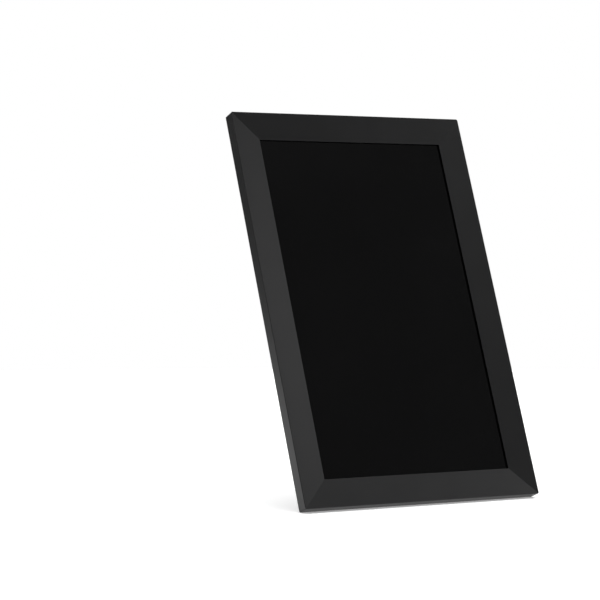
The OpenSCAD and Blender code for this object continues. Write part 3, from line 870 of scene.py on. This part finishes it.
# ---------------------------------------------------------------- stand leg
class Bend:
    """The leg's back face in side view, as straights and arcs, measured along its length."""

    def __init__(self, start, angle):
        self.parts = []
        self.at = Vector(start)
        self.angle = angle
        self.length = 0

    def straight(self, run):
        self.parts.append((self.length, run, self.at.copy(), self.angle, 0))
        self.at += run * Vector((math.sin(self.angle), -math.cos(self.angle)))
        self.length += run
        return self

    def turn(self, r, angle):
        self.parts.append((self.length, r * angle, self.at.copy(), self.angle, r))
        centre = self.at + r * Vector((math.cos(self.angle), math.sin(self.angle)))
        self.angle += angle
        self.at = centre - r * Vector((math.cos(self.angle), math.sin(self.angle)))
        self.length += r * angle
        return self

    def place(self, x, run, depth):
        """World place, in millimetres, of a point of the flat leg."""
        start, _, at, angle, r = next(
            p for p in reversed(self.parts) if run >= p[0] - 1e-9 or p is self.parts[0])
        run = float(run - start)
        if r:
            centre = at + r * Vector((math.cos(angle), math.sin(angle)))
            angle += run / r
            spot = centre - (r + depth) * Vector((math.cos(angle), math.sin(angle)))
        else:
            out = Vector((math.cos(angle), math.sin(angle)))
            spot = at + run * Vector((math.sin(angle), -math.cos(angle))) - depth * out
        return (x, spot.x, spot.y)


def panel_point(y, z):
    """World (y, z) in millimetres of a point on the panel's middle plane."""
    p = PANEL @ Vector((0, y, z))
    return Vector((p.y / MM, p.z / MM))


def leg_path():
    """Flat against the cover, a soft crease, down to the floor, and out along it."""
    first = LEAN + LEG_SLOPE
    crease = panel_point(CREASE_Y, LEG_Z)
    cut = CREASE_R * math.tan(first / 2)
    flat_run = PIVOT_Y + LEG_HALF - CREASE_Y - cut
    second = math.pi / 2 - LEG_SLOPE
    toe_cut = TOE_R * math.tan(second / 2)
    fall = (crease.y - TOE_TOP) / math.cos(LEG_SLOPE)
    path = Bend(panel_point(PIVOT_Y + LEG_HALF, LEG_Z), -LEAN)
    path.straight(flat_run).turn(CREASE_R, first).straight(fall - cut - toe_cut)
    bend_end = path.turn(TOE_R, second).length
    path.straight(LEG_HALF)
    return path, bend_end - TOE_PULL


def stand_leg():
    path, toe_middle = leg_path()
    length = toe_middle + LEG_HALF
    stations = [LEG_HALF + 3]
    for start, run, *_, r in path.parts:
        if r:
            stations += list(np.linspace(start, start + run, 9))
    stations = [s for s in sorted(stations) if s > LEG_HALF + 1]
    sides = [(LEG_HALF, s) for s in stations if s < toe_middle]
    outline = (arc(0, LEG_HALF, LEG_HALF, 180, 360, 40) + sides
               + arc(0, toe_middle, LEG_HALF, 0, 180, 40)
               + [(-x, s) for x, s in reversed(sides)])
    rows = []
    for turn in (0, 22, 45, 68, 90):
        a = math.radians(turn)
        rows.append((grown(outline, -LEG_EDGE * (1 - math.sin(a))), LEG_EDGE * (1 - math.cos(a))))
    rows += [(line, LEG_T - depth) for line, depth in reversed(rows)]

    skin = Skin()
    skin.rows([[path.place(x, s, depth) for x, s in line] for line, depth in rows])
    back_line, front_line = rows[0][0], rows[-1][0]
    extra = []
    for s in sorted(stations + list(np.arange(LEG_HALF, length - 3, 6))):
        extra += [(x, s) for x in np.linspace(-LEG_HALF + 2.4, LEG_HALF - 2.4, 9)]
    extra = np.array(extra)
    extra = extra[inside(extra, grown(back_line, -0.8))]
    middle = (0, LEG_HALF)
    boss = circle(*middle, BOSS_R, 40)
    pad = arc(0, toe_middle, LEG_HALF - PAD_INSET, PAD_CUT, 180 - PAD_CUT, 24)
    clear = np.hypot(extra[:, 0], extra[:, 1] - LEG_HALF) > BOSS_R + 1
    clear &= away_from(extra, divided(pad, 1.5), 0.9)
    skin.fill(back_line, [], [], extra,
              lambda flat: [path.place(x, s, 0) for x, s in flat])
    skin.fill(front_line, [boss, pad], [], extra[clear & ~inside(extra, boss)],
              lambda flat: [path.place(x, s, LEG_T) for x, s in flat])
    skin.rows([[path.place(x, s, depth) for x, s in pad] for depth in (LEG_T, LEG_T - PAD_SINK)])
    skin.face([path.place(x, s, LEG_T - PAD_SINK) for x, s in pad])

    # Boss through the bush, and the spigot that carries the retaining plate
    neck = LEG_Z - ROOF_Z + BOSS_PAST_ROOF
    tip = neck + SPIGOT_LENGTH
    steps = [(BOSS_R, LEG_T), (BOSS_R, neck), (SPIGOT_R, neck), (SPIGOT_R, tip)]
    rings = [[path.place(x, s, depth) for x, s in circle(*middle, r, 40)] for r, depth in steps]
    skin.rows(rings)
    skin.face(rings[-1])
    obj = skin.piece("stand_leg_strip", Matrix.Scale(MM, 4), 30)
    dress(obj, "leg", "leg_black", MATERIALS["leg_black"], "stand_leg")


stand_leg()


# ---------------------------------------------------------------- power button
def lathe(skin, profile, x, z, n=36):
    """Turns (radius, height) points about a line along the panel's height."""
    turns = np.linspace(0, 2 * math.pi, n, endpoint=False)
    skin.rows([[(x + r * math.cos(a), y, z + r * math.sin(a)) for a in turns]
               for r, y in profile])


def power_button():
    """A short plunger with a rounded rim and a shallow finger dish."""
    inner = BAY_Y - BAY_WALL
    proud = BAY_Y + BUTTON_PROUD
    flange_r = BUTTON_R + FLANGE_OUT
    rim_x, rim_y = BUTTON_R - BUTTON_RIM, proud - BUTTON_RIM
    profile = [(TINY, inner - FLANGE_FROM), (flange_r, inner - FLANGE_FROM),
               (flange_r, inner - FLANGE_TO), (BUTTON_R, inner - FLANGE_TO), (BUTTON_R, rim_y)]
    profile += [(rim_x + BUTTON_RIM * math.cos(a), rim_y + BUTTON_RIM * math.sin(a))
                for a in np.radians((30, 60, 90))]
    profile += [(max(share * BUTTON_R, TINY), proud - sink) for share, sink in BUTTON_DISH]
    skin = Skin()
    lathe(skin, profile, *BUTTON[:2])
    obj = skin.piece("power_button_cap", PANEL, 30)
    dress(obj, "button", "button_black", MATERIALS["button_black"], "power_button")


power_button()


# ---------------------------------------------------------------- the other CAD nodes
SLOT_OF = {
    "glass_tape": "tape", "cover_glass": "screen_glass", "lcd_cell": "lcd",
    "light_guide": "diffuser", "panel_tray": "tray_metal", "panel_screws": "screw_steel",
    "chassis": "plate_steel", "chassis_screws": "screw_steel", "main_board": "circuit_board",
    "shield_can": "tin", "board_screws": "screw_steel", "display_cable": "flex_amber",
    "wifi_antenna": "flex_dark", "power_inlet": "port_black", "usb_socket": "tin",
    "power_switch": "port_black", "power_button": "button_black",
    "speaker_left": "port_black", "speaker_right": "port_black", "cone_left": "cone_paper",
    "cone_right": "cone_paper", "speaker_gaskets": "foam", "speaker_mesh": "mesh_cloth",
    "rear_cover": "cover_black", "cover_screws": "screw_steel", "keyhole_plate": "plate_steel",
    "back_insert": "insert_black", "pivot_bush": "bush_plastic",
    "friction_washer": "spring_bronze", "stand_leg": "leg_black",
    "retaining_plate": "plate_steel", "pivot_screw": "screw_steel", "foot_pad": "foot_rubber",
    "front_frame": "frame_black",
}
for node, slot in SLOT_OF.items():
    obj = frame["nodes"][node]
    obj.data.materials.clear()
    obj.data.materials.append(MATERIALS[slot])


# ---------------------------------------------------------------- studio
# The photograph's own camera: place in metres, tilt and turn in degrees
CAMERA_PLACE = (-0.7451, -1.1748, 0.1546)
CAMERA_TILT = 90 - 1.306
CAMERA_TURN = -30.28
CAMERA_LENS = 134.8
# What the surfaces mirror, from the floor's level up to overhead
ROOM_STEPS = (0.45, 0.62, 0.8, 0.95)
ROOM_LEVELS = (0.09, 0.09, 0.1, 0.6)
TOP_LIGHT = 2.1
TOP_SPREAD = 66
TOP_FROM = (0.15, -0.14, 1)
# Name, place, width and height, power; each faces the object
SOFTBOXES = (
    ("key", (2.96, -1.92, 2.0), (1.0, 1.0), 9.5),
    ("twin", (-1.47, 0.95, 1.1), (0.5, 0.5), 2.1),
    ("side", (1.15, -1.95, 0.25), (1.4, 0.6), 5),
    ("rim", (0.15, 2.0, 0.68), (1.5, 0.6), 5),
    ("left", (-1.7, -0.75, 1.1), (1.6, 1.2), 6),
    ("back", (-1.15, 1.22, 1.55), (0.8, 0.5), 12),
)
AIM = (0, 0, 0.12)
FLOOR_GLOW = 0.32
FLOOR_RINGS = (60, 200, 450, 800, 1500)


def linked(name, data):
    obj = bpy.data.objects.new(name, data)
    bpy.context.scene.collection.objects.link(obj)
    return obj


def camera():
    scene = bpy.context.scene
    data = bpy.data.cameras.new("camera")
    data.lens = CAMERA_LENS
    data.clip_end = 30
    view = linked("camera", data)
    view.location = CAMERA_PLACE
    view.rotation_euler = Euler((math.radians(CAMERA_TILT), 0, math.radians(CAMERA_TURN)))
    scene.camera = view
    scene.view_settings.view_transform = "Standard"
    scene.view_settings.look = "None"


def room():
    """White to the camera, dark to everything else, so that black surfaces stay black."""
    world = bpy.data.worlds.new("studio")
    bpy.context.scene.world = world
    world.use_nodes = True
    nodes, links = world.node_tree.nodes, world.node_tree.links
    backdrop = nodes["Background"]
    backdrop.inputs["Color"].default_value = (1, 1, 1, 1)
    backdrop.inputs["Strength"].default_value = 1.0
    dark = nodes.new("ShaderNodeBackground")
    place = nodes.new("ShaderNodeTexCoord")
    split = nodes.new("ShaderNodeSeparateXYZ")
    ramp = nodes.new("ShaderNodeValToRGB")
    height = nodes.new("ShaderNodeMapRange")
    height.inputs["From Min"].default_value = -1
    links.new(place.outputs["Generated"], split.inputs["Vector"])
    links.new(split.outputs["Z"], height.inputs["Value"])
    links.new(height.outputs["Result"], ramp.inputs["Fac"])
    tones = ramp.color_ramp.elements
    tones[0].position, tones[1].position = ROOM_STEPS[0], ROOM_STEPS[-1]
    for share in ROOM_STEPS[1:-1]:
        tones.new(share)
    for tone, level in zip(tones, ROOM_LEVELS):
        tone.color = (level, level, level, 1)
    links.new(ramp.outputs["Color"], dark.inputs["Color"])
    seen = nodes.new("ShaderNodeLightPath")
    mix = nodes.new("ShaderNodeMixShader")
    links.new(seen.outputs["Is Camera Ray"], mix.inputs["Fac"])
    links.new(dark.outputs["Background"], mix.inputs[1])
    links.new(backdrop.outputs["Background"], mix.inputs[2])
    links.new(mix.outputs["Shader"], nodes["World Output"].inputs["Surface"])


def lights():
    top = bpy.data.lights.new("top", "SUN")
    top.energy = TOP_LIGHT
    top.angle = math.radians(TOP_SPREAD)
    linked("top", top).rotation_euler = Vector(TOP_FROM).to_track_quat("Z", "Y").to_euler()
    for name, place, size, power in SOFTBOXES:
        light = bpy.data.lights.new(name, "AREA")
        light.shape = "RECTANGLE"
        light.size, light.size_y = size
        light.energy = power
        box = linked(name, light)
        box.location = place
        box.rotation_euler = (Vector(AIM) - Vector(place)).to_track_quat("-Z", "Y").to_euler()


def floor():
    """A round white table top that glows a little, so that it fades into the backdrop."""
    skin = Skin()
    rings = [circle(0, 0, r, 96) for r in FLOOR_RINGS]
    skin.rows([raised(ring, 0) for ring in rings])
    skin.face(raised(rings[0], 0))
    ground = skin.piece("floor", Matrix.Scale(MM, 4), 35, False)
    n = Nodes("pale_floor")
    n.colours(n.noise(40, 3), (0.87, 0.87, 0.87), (0.89, 0.89, 0.89))
    n.set(Roughness=0.85, Specular_IOR_Level=0.1, Emission_Color=(1, 1, 1, 1),
          Emission_Strength=FLOOR_GLOW)
    ground.data.materials.append(n.material)


camera()
room()
lights()
floor()
